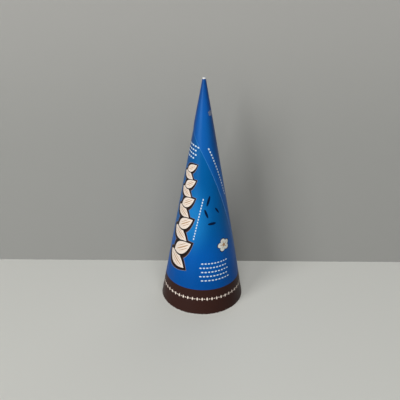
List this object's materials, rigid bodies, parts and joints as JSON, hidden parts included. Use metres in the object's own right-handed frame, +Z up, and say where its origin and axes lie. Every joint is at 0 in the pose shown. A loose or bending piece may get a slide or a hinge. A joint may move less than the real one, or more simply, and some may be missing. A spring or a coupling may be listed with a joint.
{
  "type": "cone paper cup",
  "caption": "Tall paper cone cup for an ice-cream cone: one printed sheet rolled into a cone, lapped and glued along a seam that climbs round it.",
  "frame": {"origin": "centre of the mouth, on the surface that the cup stands on", "axes": "+Z up along the cone's axis, from the mouth to the tip; -Y is the front, where the seam climbs across"},
  "size_m": [0.054, 0.054, 0.141],
  "materials": {
    "coated_paper": "satin"
  },
  "bodies": {
    "root": {"paper_cone": "coated_paper"}
  },
  "joints": []
}
